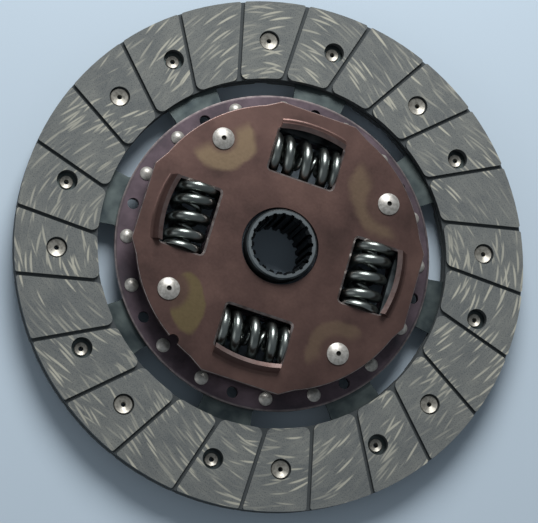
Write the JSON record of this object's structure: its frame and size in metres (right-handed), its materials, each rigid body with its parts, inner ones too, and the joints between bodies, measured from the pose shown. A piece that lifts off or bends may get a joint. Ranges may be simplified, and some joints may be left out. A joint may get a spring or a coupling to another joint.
{
  "type": "clutch disc",
  "caption": "Clutch disc with grooved, riveted friction facings on waved cushion plates, and a splined hub that turns slightly in a plate-and-spring torsion damper.",
  "frame": {"origin": "on the shaft axis, in the mid-plane of the cushion plates between the two facings", "axes": "+Z along the shaft axis towards the front plate, +X through the middle of a damper window"},
  "size_m": [0.2, 0.2, 0.0257],
  "materials": {
    "facing": "worn grey friction material with pale fibres",
    "hub_steel": "dark oiled steel",
    "front_plate_steel": "brown phosphated steel",
    "disc_plate_steel": "grey-violet phosphated steel",
    "cushion_steel": "grey spring steel",
    "spring_steel": "dark oiled spring wire",
    "washer_steel": "plain steel",
    "rivet_steel": "bright zinc-plated steel",
    "friction_plastic": "dark moulded friction plastic"
  },
  "bodies": {
    "disc": {"friction_bush": "friction_plastic", "friction_washer": "friction_plastic", "thrust_plate": "washer_steel", "cone_spring": "washer_steel", "disc_plate": "disc_plate_steel", "front_plate": "front_plate_steel", "stop_pin_1": "rivet_steel", "stop_pin_2": "rivet_steel", "stop_pin_3": "rivet_steel", "stop_pin_4": "rivet_steel", "outer_spring_1": "spring_steel", "outer_spring_2": "spring_steel", "outer_spring_3": "spring_steel", "outer_spring_4": "spring_steel", "inner_spring_1": "spring_steel", "inner_spring_2": "spring_steel", "inner_spring_3": "spring_steel", "inner_spring_4": "spring_steel", "cushion_plate_1": "cushion_steel", "cushion_plate_2": "cushion_steel", "cushion_plate_3": "cushion_steel", "cushion_plate_4": "cushion_steel", "cushion_plate_5": "cushion_steel", "cushion_plate_6": "cushion_steel", "cushion_plate_7": "cushion_steel", "cushion_plate_8": "cushion_steel", "cushion_rivets": "rivet_steel", "front_facing": "facing", "rear_facing": "facing", "front_facing_rivets": "rivet_steel", "rear_facing_rivets": "rivet_steel"},
    "hub": {"hub": "hub_steel"}
  },
  "joints": [
    {"name": "damper_turn", "type": "hinge", "parent": "disc", "child": "hub", "pos_m": [0, 0, 0], "axis": [0, 0, 1], "range_deg": [-7, 7], "stiffness_Nm_per_rad": 2, "deforming": ["outer_spring_1", "outer_spring_2", "outer_spring_3", "outer_spring_4", "inner_spring_1", "inner_spring_2", "inner_spring_3", "inner_spring_4"]}
  ]
}
